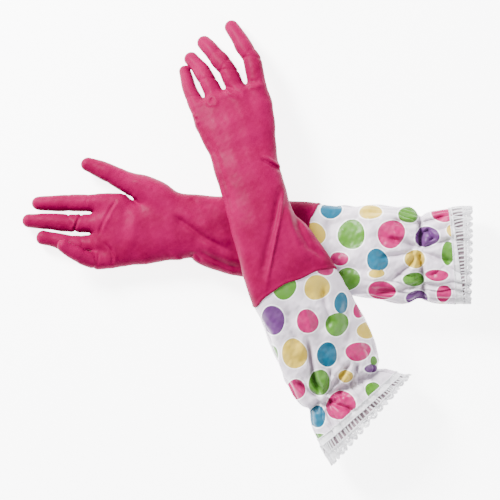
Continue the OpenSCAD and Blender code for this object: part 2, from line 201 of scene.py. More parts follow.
# The same for the cloth, which puckers towards one spot on the elastic
CLOTH_CREASES = {
    "right": [
        ([(146, 8), (168, 3), (182, -6)], 3.2, -2.6), ([(136, -14), (165, -10), (182, -6)], 3, -2.6),
        ([(148, -42), (170, -24), (182, -6)], 3.4, -3.2), ([(182, 34), (185, 12), (183, -6)], 3, -3.4),
        ([(183, -6), (186, -26), (188, -50), (190, -66)], 3, -3.6),
        ([(183, -6), (200, 1), (224, 8)], 3, -2.8), ([(183, -6), (200, -14), (224, -20)], 3, -2.6),
        ([(184, 24), (198, 27), (214, 31)], 2.8, -2.4),
        ([(186, -42), (202, -45), (224, -48)], 3, -2.8), ([(150, 28), (170, 24), (184, 24)], 3, -2.4),
        ([(128, -52), (160, -50), (186, -42)], 3.2, -2.8), ([(70, 20), (100, 26), (140, 22)], 6, -1.5),
        ([(74, -20), (104, -26), (140, -28)], 6, -1.6),
        ([(186, 12), (192, 16), (199, 8), (190, 3)], 1.8, -2),
    ],
    "left": [
        ([(58, -96), (63, -120), (68, -148), (77, -168)], 3.2, -4.6),
        ([(110, -124), (94, -146), (78, -168)], 3.2, -3.6),
        ([(136, -136), (110, -150), (79, -168)], 3.4, -4.2),
        ([(56, -192), (66, -180), (77, -168)], 3.2, -4.2),
        ([(77, -168), (83, -186), (92, -206)], 3, -2.6), ([(77, -168), (96, -176), (118, -184)], 3, -2.4),
        ([(86, -132), (84, -150), (78, -168)], 2.6, -2.8), ([(46, -146), (60, -160), (77, -168)], 2.8, -3),
        ([(72, -40), (80, -68), (84, -92)], 3.6, -2.2), ([(36, -62), (44, -92), (52, -120)], 5, -2),
        ([(100, -60), (104, -88), (102, -112)], 5, -1.8), ([(54, -60), (62, -84), (66, -100)], 4.5, 1.4),
        ([(116, -128), (112, -140), (104, -152)], 2.6, -2.8),
        ([(70, -196), (66, -206), (64, -216)], 2.6, -2.4),
    ],
}
# How the mouth flares: the side away from the thumb runs on by the first value and spreads by the third,
# and the thumb's side by the second and the fourth
FLARE = {"right": (0, 0, 0, 0), "left": (15, -10.5, 3, 16)}
# Folds that ring a digit: [digit, station along it, depth, width, tilt]
FOLDS = {
    "right": [
        ("middle", 2.86, 1.8, 1.1, 0.5), ("middle", 2.98, -0.9, 1.2, 0.5), ("middle", 3.12, 1.5, 1.2, -0.7),
        ("middle", 2, 0.7, 2, 0.2), ("little", 2.05, 1.3, 1.1, 0.2), ("little", 2.22, 1, 0.9, -0.3),
        ("ring", 2.85, 0.9, 1.4, -0.3), ("index", 2.55, 0.5, 1.6, 0.3), ("index", 3.5, 0.35, 2.2, 0),
        ("thumb", 4.4, 0.4, 2.4, 0.2), ("ring", 3.6, 0.4, 2, 0.2), ("little", 3.4, 0.4, 1.6, 0.1),
    ],
    "left": [
        ("index", 3.15, 0.9, 1.3, 0.5), ("index", 3.35, 0.6, 1.3, -0.3), ("index", 4.1, 0.4, 2, 0.2),
        ("middle", 2.95, 1, 1.2, 0.5), ("middle", 3.2, 0.8, 1.2, -0.4), ("middle", 4, 0.4, 2, 0),
        ("ring", 3, 0.9, 1.2, 0.4), ("ring", 3.3, 0.5, 1.2, -0.4), ("little", 2.5, 0.9, 1.2, 0.3),
        ("thumb", 3.2, 0.8, 1.4, 0.3),
    ],
}

# Printed dots that show from above: (x, y, half width, half height, colour)
DOTS = {
    "right": [
        (87, 38, 12, 9, "blue"), (130, 36, 12, 8, "yellow"), (171, 33, 10.5, 9, "green"),
        (209, 33, 12, 8, "pink"),
        (69, 12, 12, 12, "yellow"), (109, 11.5, 15.5, 15.5, "green"), (152, 12, 15.2, 15.2, "pink"),
        (191, 9, 13, 11.5, "purple"), (220, 16, 7, 8, "yellow"), (96, -15, 9.5, 7.5, "pink"),
        (137, -16.5, 12, 12, "blue"), (178, -15.5, 12, 9.5, "yellow"), (214, -9, 7.5, 12.5, "green"),
        (105, -37.5, 13, 13, "green"), (177, -37.5, 11.5, 8, "green"), (202, -33, 12, 6.5, "pink"),
        (142, -49.5, 15.5, 10, "pink"), (181, -58, 13, 8, "purple"), (210, -53, 8.5, 9, "pink"),
        (136, -31, 8.5, 5, "yellow"), (207, -67, 7, 4, "yellow"),
    ],
    "left": [
        (35, -46, 12.8, 12.8, "green"), (70, -46, 13.5, 14, "yellow"), (79, -26, 9, 7.5, "pink"),
        (23, -81, 12, 16, "purple"), (60, -82.5, 12.3, 12.5, "pink"), (96.5, -63, 8, 11, "blue"),
        (92, -86, 13, 12.5, "green"), (117, -71, 7, 9, "pink"), (124.5, -93.5, 10, 9.5, "yellow"),
        (22, -120, 6.5, 11.5, "green"), (46, -118, 14, 16, "yellow"), (81.5, -119, 11.5, 13, "blue"),
        (115.5, -116, 14.5, 10, "pink"), (48, -158, 10, 12, "pink"), (73.5, -150, 11, 15, "green"),
        (102, -143, 8, 7, "yellow"), (133, -126.5, 4, 5, "green"), (130, -135, 8, 4.5, "purple"),
        (131.5, -158, 8.5, 8, "green"), (97, -175, 16, 15.5, "pink"), (71.5, -188, 8.5, 12.5, "blue"),
        (75, -214, 9, 8, "green"), (2, -58, 6, 8, "pink"),
    ],
}
DOT_COLOURS = {
    "green": (0.055, 0.17, 0.012), "yellow": (0.48, 0.34, 0.04), "blue": (0.0, 0.085, 0.15),
    "pink": (0.32, 0.0, 0.085), "purple": (0.085, 0.022, 0.115),
}

DIGIT_NAMES = ("thumb", "index", "middle", "ring", "little")


# -------- numbers
def smooth(t):
    """Eases from 0 to 1 as t does."""
    t = np.clip(t, 0.0, 1.0)
    return t * t * (3 - 2 * t)


def unit(v):
    return v / np.maximum(np.linalg.norm(v, axis=-1, keepdims=True), 1e-9)


def smooth_min(a, b, k):
    h = np.clip(0.5 + 0.5 * (b - a) / k, 0, 1)
    return b * (1 - h) + a * h - k * h * (1 - h)


def along(stations, t):
    """Catmull-Rom values of a station list at an array of fractional indices."""
    s = np.array(stations, float)
    t = np.atleast_1d(np.asarray(t, float))
    last = len(s) - 1
    i = np.clip(np.floor(t).astype(int), 0, last - 1)
    f = (t - i)[:, None]
    a, b, c, d = s[np.maximum(i - 1, 0)], s[i], s[i + 1], s[np.minimum(i + 2, last)]
    return 0.5 * (2 * b + (c - a) * f + (2 * a - 5 * b + 4 * c - d) * f**2 + (3 * b - a - 3 * c + d) * f**3)


def headings(stations, t):
    """Unit directions along a station list."""
    step = 0.05
    ahead = along(stations, np.minimum(t + step, len(stations) - 1))
    behind = along(stations, np.maximum(t - step, 0))
    return unit((ahead - behind)[:, :3])


def rounded(c):
    """Turns the cosine or sine of a circle into that of a rounded square."""
    return np.sign(c) * np.abs(c) ** (2 / SQUARENESS)


def section_frame(dirs):
    """The level and the upright direction across each heading."""
    level = unit(np.stack([dirs[:, 1], -dirs[:, 0], 0 * dirs[:, 0]], 1))
    return level, np.cross(level, dirs)


def ripple(x, y, seed, wavelength):
    """Gentle unevenness of unit size, made of seeded waves in the plane."""
    rng = np.random.default_rng(seed)
    count = 7
    total = 0
    for _ in range(count):
        angle = rng.uniform(0, math.pi)
        length = wavelength * rng.uniform(0.6, 1.6)
        way = x * math.cos(angle) + y * math.sin(angle)
        total = total + np.sin(TURN * way / length + rng.uniform(0, 6.28))
    return total / math.sqrt(count)


def line_distance(x, y, points):
    """Distance in plan to a polyline, and the share of the way along it."""
    best = np.full(x.shape, FAR)
    share = np.zeros(x.shape)
    for i, (p, q) in enumerate(zip(points[:-1], points[1:])):
        dx, dy = q[0] - p[0], q[1] - p[1]
        f = np.clip(((x - p[0]) * dx + (y - p[1]) * dy) / (dx * dx + dy * dy), 0, 1)
        d = np.hypot(x - p[0] - f * dx, y - p[1] - f * dy)
        near = d < best
        best = np.where(near, d, best)
        share = np.where(near, (i + f) / (len(points) - 1), share)
    return best, share


def facing_up(turn):
    """1 on top of the arm, 0 underneath."""
    return smooth(1.4 * np.sin(turn))


def relief(x, y, creases):
    """Height of the creases and folds seen from above, in millimetres."""
    total = 0.28 * ripple(x, y, 11, 24) + 0.10 * ripple(x, y, 12, 9)
    for points, width, height in creases:
        d, share = line_distance(x, y, points)
        fade = smooth(4 * share) * smooth(4 * (1 - share))
        total = total + height * fade * np.exp(-((d / width) ** 2))
    return total


# -------- rubber skins
def trunk_line(side):
    """The stations from just before the hem to the knuckles."""
    return ARM[side][HEM - ROWS_BEFORE_HEM:] + PALM[side]


def trunk_columns(side, x, y):
    """For columns in plan: place on the trunk line, offset to the thumb's side, distance past the end,
    height of the centre, half width and half height."""
    line = trunk_line(side)
    shape = x.shape
    x, y = x.ravel(), y.ravel()
    outline = along(line, np.linspace(0, len(line) - 1, 8 * len(line)))
    place = line_distance(x, y, outline)[1] * (len(line) - 1)
    here = along(line, place)
    dirs = unit(headings(line, place) * [1, 1, 0])
    x, y = x - here[:, 0], y - here[:, 1]
    across = x * dirs[:, 1] - y * dirs[:, 0]
    beyond = np.maximum(x * dirs[:, 0] + y * dirs[:, 1], 0) * (place > len(line) - 1.01)
    return [v.reshape(shape) for v in (place, across, beyond, here[:, 2], here[:, 3], here[:, 4])]


def hem_place(turn):
    """Place along the trunk line where the rubber ends, at an angle round the arm from the thumb's side."""
    wave = 0.10 * np.cos(2 * turn) + 0.022 * np.sin(5 * turn + 1) + 0.014 * np.sin(9 * turn + 2)
    return ROWS_BEFORE_HEM - HEM_OVERLAP - wave


def ball_chain(x, y, z, line):
    """Distance to a digit's chain of tapering balls, and the place along its line."""
    places = np.linspace(0, len(line) - 1, 6 * (len(line) - 1) + 1)
    stations = along(line, places)
    best = np.full(x.shape, FAR)
    place = np.zeros(x.shape)
    for i, (a, b) in enumerate(zip(stations[:-1], stations[1:])):
        ab = b[:3] - a[:3]
        f = ((x - a[0]) * ab[0] + (y - a[1]) * ab[1] + (z - a[2]) * ab[2]) / (ab @ ab)
        f = np.clip(f, 0, 1)
        d = np.sqrt((x - a[0] - f * ab[0])**2 + (y - a[1] - f * ab[1])**2 + (z - a[2] - f * ab[2])**2)
        d = d - (a[3] + f * (b[3] - a[3]))
        near = d < best
        best = np.where(near, d, best)
        place = np.where(near, places[i] + f * (places[i + 1] - places[i]), place)
    return best, place


def digit_field(x, y, z, line, folds):
    """Distance to a digit, with its ringed folds."""
    field, place = ball_chain(x, y, z, line)
    step = np.linalg.norm(np.array(line[3][:3]) - np.array(line[2][:3]))
    here = along(line, place.ravel()).reshape(x.shape + (4,))
    lean = (x - here[..., 0] + y - here[..., 1]) * 0.7
    for station, depth, width, tilt in folds:
        gap = (place - station) * step + tilt * lean
        uneven = 0.75 + 0.25 * np.sin(0.55 * lean + 3 * station)
        field = field + depth * uneven * np.exp(-((gap / width) ** 2))
    return field


def trunk_field(u, v, w, wide, high):
    """Distance to the arm and palm; u, v and w are offsets as shares of the half sizes."""
    n = SQUARENESS
    least_slope = 0.012
    g = np.maximum((np.abs(u) ** n + w ** n + np.abs(v) ** n) ** (1 / n), 1e-3)
    steps = (np.abs(u) ** (n - 1) / wide, np.abs(v) ** (n - 1) / high, w ** (n - 1) / PALM_END)
    slope = np.sqrt(sum(step**2 for step in steps)) * g ** (1 - n)
    return (g - 1) / np.maximum(slope, least_slope)


def digits_field(side, xs, ys, zs):
    """Distance to the nearest digit over the grid, worked out only round each digit."""
    origin = np.array([xs[0], ys[0], zs[0]])
    counts = (len(xs), len(ys), len(zs))
    field = np.full(counts, FAR)
    for name in DIGIT_NAMES:
        rows = np.array(DIGITS[side][name])
        reach = rows[:, 3].max() + 12
        lo = np.floor((rows[:, :3].min(0) - reach - origin) / SKIN_STEP).astype(int)
        hi = np.ceil((rows[:, :3].max(0) + reach - origin) / SKIN_STEP).astype(int)
        part = tuple(slice(max(a, 0), min(b, n)) for a, b, n in zip(lo, hi, counts))
        x, y, z = np.meshgrid(xs[part[0]], ys[part[1]], zs[part[2]], indexing="ij")
        folds = [fold[1:] for fold in FOLDS[side] if fold[0] == name]
        field[part] = smooth_min(field[part], digit_field(x, y, z, DIGITS[side][name], folds), DIGIT_FILLET)
    return field


def skin_field(side, origin, counts):
    """Signed distance to one glove's rubber over a grid, negative inside."""
    xs, ys, zs = (origin[c] + SKIN_STEP * np.arange(counts[c]) for c in range(3))
    x, y = np.meshgrid(xs, ys, indexing="ij")
    columns = (column[..., None] for column in trunk_columns(side, x, y))
    place, across, beyond, middle, wide, high = columns
    u = across / wide
    v = (zs - middle) / high
    trunk = trunk_field(u, v, beyond / PALM_END, wide, high)
    field = smooth_min(trunk, digits_field(side, xs, ys, zs), WEB_FILLET)
    top = smooth(0.5 + v)
    marks = relief(x, y, CREASES[side])[..., None]
    under = 0.35 * ripple(x, y, 21, 28)[..., None]
    field = field - marks * top - under * (1 - top)
    past_hem = (hem_place(np.arctan2(v, u)) - place) * STATION_GAP
    field = field - HEM_BEAD * np.exp(-(((past_hem + 1.2) / 1.3) ** 2))
    return -smooth_min(-field, -past_hem, HEM_FILLET)


def surface_net(field, origin):
    """Vertices and outward quads of a grid's zero surface."""
    inside = field < 0
    nx, ny, nz = (c - 1 for c in field.shape)
    corner = [(i, j, k) for i in (0, 1) for j in (0, 1) for k in (0, 1)]
    total = np.zeros((nx, ny, nz), np.int8)
    for i, j, k in corner:
        total += inside[i:i + nx, j:j + ny, k:k + nz]
    cells = np.argwhere((total > 0) & (total < 8))
    value = np.stack([field[cells[:, 0] + i, cells[:, 1] + j, cells[:, 2] + k] for i, j, k in corner], 1)
    where = np.array(corner, float)
    place = np.zeros((len(cells), 3))
    hits = np.zeros(len(cells))
    for p in range(8):
        for q in range(p + 1, 8):
            if np.abs(where[p] - where[q]).sum() != 1:
                continue
            cross = (value[:, p] < 0) != (value[:, q] < 0)
            f = np.where(cross, value[:, p] / np.where(cross, value[:, p] - value[:, q], 1), 0)
            place += np.where(cross[:, None], where[p] + f[:, None] * (where[q] - where[p]), 0)
            hits += cross
    verts = origin + SKIN_STEP * (cells + place / hits[:, None])
    index = np.full((nx, ny, nz), -1, np.int64)
    index[tuple(cells.T)] = np.arange(len(cells))
    quads = []
    for axis in range(3):
        one, two = (axis + 1) % 3, (axis + 2) % 3
        low = [slice(None)] * 3
        high = [slice(None)] * 3
        low[axis], high[axis] = slice(0, -1), slice(1, None)
        flips = np.argwhere(inside[tuple(low)] != inside[tuple(high)])
        ok = (flips[:, one] > 0) & (flips[:, two] > 0)
        ok &= (flips[:, one] < (nx, ny, nz)[one]) & (flips[:, two] < (nx, ny, nz)[two])
        flips = flips[ok]
        ring = []
        for da, db in ((-1, -1), (0, -1), (0, 0), (-1, 0)):
            at = flips.copy()
            at[:, one] += da
            at[:, two] += db
            ring.append(index[tuple(at.T)])
        ring = np.stack(ring, 1)
        outward = inside[tuple(flips.T)]
        quads.append(np.where(outward[:, None], ring, ring[:, ::-1]))
    return verts, np.concatenate(quads)


def relax(verts, quads, rounds):
    """Taubin smoothing: evens the grid's steps out without shrinking the skin."""
    pushes = (0.5, -0.52)
    pairs = np.concatenate([quads[:, [i, (i + 1) % 4]] for i in range(4)])
    pairs = np.concatenate([pairs, pairs[:, ::-1]])
    count = np.bincount(pairs[:, 0], minlength=len(verts))[:, None]
    for _ in range(rounds):
        for push in pushes:
            sums = [np.bincount(pairs[:, 0], verts[pairs[:, 1], c], len(verts)) for c in range(3)]
            verts = verts + push * (np.stack(sums, 1) / np.maximum(count, 1) - verts)
    return verts


def vertex_normals(verts, quads):
    a, b, c, d = (verts[quads[:, i]] for i in range(4))
    n = np.cross(c - a, d - b)
    total = np.zeros_like(verts)
    for i in range(4):
        for c in range(3):
            total[:, c] += np.bincount(quads[:, i], n[:, c], len(verts))
    return unit(total)


# -------- meshes
def into_scene(name, data):
    obj = bpy.data.objects.new(name, data)
    bpy.context.scene.collection.objects.link(obj)
    return obj


def to_frame(verts):
    """Station millimetres to frame metres."""
    out = np.array(verts, float)
    out[:, 1] -= MIDDLE_Y
    return out * MM


def new_piece(name, verts, faces, material, normals=None):
    """A smooth-shaded mesh piece of the vertices that its faces use, in station millimetres."""
    used = np.unique(faces)
    back = np.full(len(verts), -1)
    back[used] = np.arange(len(used))
    mesh = bpy.data.meshes.new(name)
    mesh.from_pydata(to_frame(verts[used]), [], back[faces].tolist())
    mesh.validate()
    mesh.shade_smooth()
    mesh.materials.append(material)
    if normals is not None:
        mesh.normals_split_custom_set_from_vertices(normals[used])
    return into_scene(name, mesh)


def thicken(obj, wall, offset=-1.0):
    """Gives a sheet its wall, inwards at an offset of -1 and outwards at 1."""
    m = obj.modifiers.new("wall", "SOLIDIFY")
    m.thickness = wall * MM
    m.offset = offset


def attribute(obj, name, values, kind="FLOAT"):
    """Stores a number or a vector for each vertex."""
    a = obj.data.attributes.new(name, kind, "POINT")
    if kind == "FLOAT":
        a.data.foreach_set("value", values.astype(np.float32))
    else:
        a.data.foreach_set("vector", values.astype(np.float32).ravel())


# -------- materials
class Nodes:
    """Short hands for building a node material."""

    def __init__(self, name):
        self.material = bpy.data.materials.new(name)
        self.material.use_nodes = True
        self.tree = self.material.node_tree
        self.shader = self.tree.nodes["Principled BSDF"]

    def fill(self, node, values):
        """Sets or links a node's inputs by name; an underscore stands for a space."""
        for key, value in values.items():
            socket = node.inputs[key.replace("_", " ")]
            if isinstance(value, bpy.types.NodeSocket):
                self.tree.links.new(value, socket)
            else:
                socket.default_value = value

    def add(self, kind, **values):
        node = self.tree.nodes.new(kind)
        for key in [key for key in values if hasattr(node, key)]:
            setattr(node, key, values.pop(key))
        self.fill(node, values)
        return node

    def finish(self, **values):
        self.fill(self.shader, values)
        return self.material

    def noise(self, scale, detail=3.0):
        place = self.add("ShaderNodeTexCoord").outputs["Object"]
        return self.add("ShaderNodeTexNoise", Scale=scale, Detail=detail, Vector=place).outputs["Fac"]

    def ramp(self, factor, stops):
        """A colour between two stops, each as (position, colour)."""
        node = self.add("ShaderNodeValToRGB", Fac=factor)
        for element, (at, colour) in zip(node.color_ramp.elements, stops):
            element.position = at
            element.color = (*colour, 1)
        return node.outputs["Color"]

    def span(self, value, low, high, out_low=0.0, out_high=1.0):
        node = self.add("ShaderNodeMapRange", Value=value, From_Min=low, From_Max=high)
        self.fill(node, {"To Min": out_low, "To Max": out_high})
        return node.outputs["Result"]

    def mix(self, factor, a, b):
        node = self.add("ShaderNodeMix", data_type="RGBA", Factor=factor)
        for socket, value in ((node.inputs[6], a), (node.inputs[7], b)):
            if isinstance(value, tuple):
                socket.default_value = (*value, 1)
            else:
                self.tree.links.new(value, socket)
        return node.outputs[2]

    def bump(self, height, strength, distance, **normal):
        node = self.add("ShaderNodeBump", Height=height, Strength=strength, Distance=distance, **normal)
        return node.outputs["Normal"]

    def named(self, name):
        return self.add("ShaderNodeAttribute", attribute_name=name)


def rubber_material():
    """Matt pink rubber, faintly mottled."""
    m = Nodes("pink_rubber")
    mottled = m.noise(160, 5.0)
    base = m.ramp(m.noise(28, 2.0), [(0.35, (0.135, 0.0, 0.027)), (0.65, (0.175, 0.0, 0.039))])
    colour = m.mix(m.span(mottled, 0.45, 0.75, 0.0, 0.25), base, (0.23, 0.0, 0.056))
    rough = m.span(mottled, 0.3, 0.7, 0.40, 0.52)
    n = m.bump(m.noise(70, 3.0), 0.35, 0.0010)
    n = m.bump(m.noise(900, 4.0), 0.25, 0.00020, Normal=n)
    return m.finish(Base_Color=colour, Roughness=rough, Specular_IOR_Level=0.03, Normal=n)


def sleeve_material():
    """Coated cloth: the printed dots, their pale outlines, and painted shade deep in the folds."""
    m = Nodes("spotted_sleeve")
    dot = m.named("dot").outputs["Fac"]
    tone = m.named("tone").outputs["Vector"]
    ground = m.ramp(m.noise(45, 3.0), [(0.3, (0.56, 0.49, 0.57)), (0.7, (0.64, 0.58, 0.65))])
    # Painted shade: the cloth darkens towards a grey-mauve deep in the folds, where shade would fall.
    shade = m.span(m.named("fold").outputs["Fac"], 0.15, 1.0, 0.0, 0.55)
    ground = m.mix(shade, ground, (0.30, 0.23, 0.28))
    outlined = m.mix(m.span(dot, 0.9, 1.3), (0.85, 0.84, 0.86), ground)
    worn = m.mix(m.span(m.noise(120, 4.0), 0.35, 0.8, 0.0, 0.05), tone, (0.50, 0.45, 0.50))
    printed = m.mix(m.span(dot, -0.15, 0.15), worn, outlined)
    rough = m.span(m.noise(60, 3.0), 0.3, 0.7, 0.30, 0.44)
    cloth = m.named("cloth").outputs["Vector"]
    weave = m.add("ShaderNodeTexWave", wave_type="BANDS", Scale=420, Distortion=0.6, Vector=cloth)
    n = m.bump(m.noise(95, 2.0), 0.30, 0.0010)
    n = m.bump(m.noise(300, 3.0), 0.2, 0.0004, Normal=n)
    n = m.bump(weave.outputs["Fac"], 0.12, 0.0001, Normal=n)
    return m.finish(Base_Color=printed, Roughness=rough, Sheen_Weight=0.03, Sheen_Roughness=0.4,
                    Specular_IOR_Level=0.2, Normal=n)


def cotton_material(name, low, high, scale):
    """Plain thread or cloth between two colours."""
    m = Nodes(name)
    colour = m.ramp(m.noise(scale, 4.0), [(0.3, low), (0.7, high)])
    n = m.bump(m.noise(scale * 4, 3.0), 0.5, 0.0002)
    return m.finish(Base_Color=colour, Roughness=0.85, Sheen_Weight=0.4, Sheen_Roughness=0.6, Normal=n)


# -------- gloves
def grid_box(side):
    """Low and high corners of the grid that holds one glove's rubber."""
    rows = [np.array(ARM[side])[HEM - 1:], np.array(PALM[side])]
    lo = np.min([(r[:, :3] - r[:, [3, 3, 4]]).min(0) for r in rows], 0)
    hi = np.max([(r[:, :3] + r[:, [3, 3, 4]]).max(0) for r in rows], 0)
    for line in DIGITS[side].values():
        r = np.array(line)
        lo = np.minimum(lo, (r[:, :3] - r[:, 3:]).min(0))
        hi = np.maximum(hi, (r[:, :3] + r[:, 3:]).max(0))
    return lo - SKIN_MARGIN, hi + SKIN_MARGIN


def knuckle(side, name):
    """A digit's knuckle and the direction it points in."""
    row = KNUCKLE_ROW[side].get(name, 2)
    line = np.array(DIGITS[side][name])
    return line[row, :3], unit(line[row + 1, :3] - line[row, :3])


def in_opening(side, centre):
    """Which faces close the rubber's end, where the sleeve goes in."""
    place, across, _, middle, wide, high = trunk_columns(side, centre[:, 0], centre[:, 1])
    u = across / (wide - OPENING_INSET)
    v = (centre[:, 2] - middle) / (high - OPENING_INSET)
    core = np.abs(u) ** SQUARENESS + np.abs(v) ** SQUARENESS
    return (core < 1) & (place < OPENING_END)


def face_owners(side, centre):
    """The number of the digit that each face belongs to, or -1 for the hand and arm."""
    owner = np.full(len(centre), -1)
    gaps = np.stack([ball_chain(*centre.T, DIGITS[side][name])[0] for name in DIGIT_NAMES], 1)
    nearest = gaps.argmin(1)
    for i, name in enumerate(DIGIT_NAMES):
        at, d = knuckle(side, name)
        past_knuckle = (centre - at) @ d > 0
        owner[(nearest == i) & past_knuckle & (gaps[:, i] < DIGIT_REACH)] = i
    return owner


def build_skin(side, material):
    """One glove's rubber: the hand and arm, and five digits cut from the same smooth surface."""
    lo, hi = grid_box(side)
    counts = np.ceil((hi - lo) / SKIN_STEP).astype(int) + 1
    verts, quads = surface_net(skin_field(side, lo, counts), lo)
    verts = relax(verts, quads, 4)
    verts[:, 2] = np.maximum(verts[:, 2], FLOOR_CLEAR)
    normals = vertex_normals(verts, quads)
    centre = verts[quads].mean(1)
    owner = face_owners(side, centre)
    hand = quads[(owner < 0) & ~in_opening(side, centre)]
    main = new_piece(f"{side}_glove", verts, hand, material, normals)
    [tuple(to_frame([p])[0]) for p in WRIST_BEND[side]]
    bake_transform(main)
    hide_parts(f"{side}_gauntlet", f"{side}_palm", f"{side}_hem_bead", f"{side}_join_band")
    for i, name in enumerate(DIGIT_NAMES):
        piece = new_piece(f"{side}_glove_{name}", verts, quads[owner == i], material, normals)
        at, d = knuckle(side, name)
        start, end = to_frame([at, at + BEND_LENGTH * d])
        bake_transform(piece)
        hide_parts(f"{side}_{name}")


# -------- sleeves
class Sleeve:
    """The cloth surface of one arm: maps a place along it and a turn round it to a point."""

    def __init__(self, side):
        self.side = side
        self.line = ARM[side]
        t = np.linspace(0, len(self.line) - 1, 400)
        run = np.linalg.norm(np.diff(along(self.line, t)[:, :3], axis=0), axis=1)
        self.t = t
        self.s = np.concatenate([[0], np.cumsum(run)])
        self.elastic = self.length_at(ELASTIC)
        self.mouth = self.length_at(MOUTH)
        self.hem = self.length_at(HEM)
        self.seed = 5 if side == "right" else 8

    def length_at(self, t):
        """Length along the arm, from its outer end, at a place among its stations."""
        return np.interp(t, self.t, self.s)

    def place_at(self, s):
        return np.interp(s, self.s, self.t)

    def folds_round(self, s, turn):
        """Wide folds and narrow pleats round the arm, each from 0 to 1."""
        k = self.seed
        warp = turn + 0.12 * np.sin(3 * turn + k) + 0.06 * np.sin(7 * turn + 2 * k)
        sway = 0.6 * np.sin(s / 11 + k) + 0.3 * np.sin(s / 5 + 4 * turn)
        wide = np.abs(np.sin(WIDE_FOLDS * warp + sway)) ** 0.8
        narrow = np.abs(np.sin(NARROW_PLEATS * warp + 1.3 + 0.4 * np.sin(s / 7)))
        return wide, narrow

    def gathers(self, s, turn):
        """Height of the gathers and folds off the arm's outline."""
        wide, narrow = self.folds_round(s, turn)
        d = s - self.elastic  # from the elastic towards the hand
        mouthward = np.clip(-d / (self.elastic - self.mouth), 0, 1.2)
        ruffle = np.where(d < 0, RUFFLE_ROOT + RUFFLE_GAIN * mouthward, 0)
        swell = BLOUSE_HEIGHT * (d / BLOUSE_PEAK) * np.exp(1 - d / BLOUSE_PEAK)
        blouse = np.where(d >= 0, RUFFLE_ROOT * np.exp(-d / 8) + swell, 0)
        mix = 0.35 * np.exp(-np.abs(d) / 14)
        height = (ruffle + blouse) * ((1 - mix) * wide + mix * narrow - 0.5)
        height = height + np.exp(-((d / 5.0) ** 2)) * (1.2 * narrow - ELASTIC_PINCH)
        girth = turn * ARM_RADIUS
        drape = 1.5 * ripple(s * 0.8, girth, 30 + self.seed, 56) + 0.6 * ripple(s, girth, 40 + self.seed, 24)
        drape = drape * smooth(d / 30 + 0.3)
        return (height + drape) * smooth((self.hem - s - CALM_BY_HEM) / 26)

    def flare(self, s, turn, ahead, level):
        """How far the ruffle beyond the elastic runs on and spreads."""
        run_low, run_high, wide_low, wide_high = FLARE[self.side]
        beyond = np.clip((self.elastic - s) / self.elastic, 0, 1)
        thumb_side = 0.5 + 0.5 * rounded(np.cos(turn))
        run = beyond * (run_low + (run_high - run_low) * thumb_side)
        wide = beyond * (-wide_low + (wide_low + wide_high) * thumb_side)
        return level * wide[:, None] - ahead * [1, 1, 0] * run[:, None]

    def creasing(self, x, y, s, turn):
        """Height of the folds, crumples and flat facets that show from above."""
        d = s - self.elastic
        crumple = 1.2 * np.exp(-((d / 12.0) ** 2)) * np.abs(ripple(x, y, 50 + self.seed, 12))
        facets = 2.0 * np.abs(ripple(x, y, 70 + self.seed, 60)) * smooth(d / 25)
        marks = CREASE_GAIN * relief(x, y, CLOTH_CREASES[self.side]) - crumple - facets
        return marks * smooth((self.hem - s - CALM_BY_HEM) / 22) * facing_up(turn)

    def point(self, s, turn, lift=0.0):
        """Points on the cloth, or lift above it, at lengths s along the arm and angles turn round it."""
        s, turn, lift = np.broadcast_arrays(np.asarray(s, float), turn, lift)
        shape = s.shape
        s, turn, lift = s.ravel(), turn.ravel(), lift.ravel()
        t = self.place_at(s)
        here = along(self.line, t)
        ahead = headings(self.line, t)
        level, up = section_frame(ahead)
        rise = lift + self.gathers(s, turn) - SLEEVE_DEPTH
        u = (here[:, 3] + rise) * rounded(np.cos(turn))
        v = (here[:, 4] + rise) * rounded(np.sin(turn))
        p = here[:, :3] + level * u[:, None] + up * v[:, None] + self.flare(s, turn, ahead, level)
        p[:, 2] += self.creasing(p[:, 0], p[:, 1], s, turn)
        floor = FLOOR_CLEAR + 0.25 * (1 + np.sin(WIDE_FOLDS * turn)) + lift.clip(0)
        p[:, 2] = np.where(p[:, 2] < floor, floor - 0.1 * np.tanh(floor - p[:, 2]), p[:, 2])
        return p.reshape(shape + (3,))


def grid_faces(rows, sides, closed):
    """Quads of a grid of points; a closed one joins its last column to its first."""
    i, k = np.meshgrid(np.arange(rows - 1), np.arange(sides if closed else sides - 1), indexing="ij")
    n = (k + 1) % sides
    a, b, c, d = i * sides + k, (i + 1) * sides + k, (i + 1) * sides + n, i * sides + n
    return np.stack([a, d, c, b], -1).reshape(-1, 4)


def ring_turns():
    return np.arange(SLEEVE_SIDES) * TURN / SLEEVE_SIDES


def wrapped(gap, around):
    """The shorter way round, with its sign."""
    return (gap + around / 2) % around - around / 2


def dot_layout(sleeve, s, turn):
    """Seeded dots for the underside, as (length along, arc round, radius, colour)."""
    found = []
    rng = np.random.default_rng(60 + sleeve.seed)
    names = list(DOT_COLOURS)
    underside, least_gap = -0.55, 6
    for _ in range(1500):
        at = (rng.integers(0, s.shape[0]), rng.integers(0, s.shape[1]))
        radius = rng.uniform(9, 13)
        gaps = []
        for along_it, round_it, other, _ in found:
            round_gap = wrapped(sleeve.arc[at] - round_it, sleeve.around[at[0]])
            gaps.append(math.hypot(s[at] - along_it, round_gap) - radius - other)
        if np.sin(turn[at]) < underside and min(gaps, default=FAR) > least_gap:
            found.append((s[at], sleeve.arc[at], radius, names[rng.integers(len(names))]))
    return found


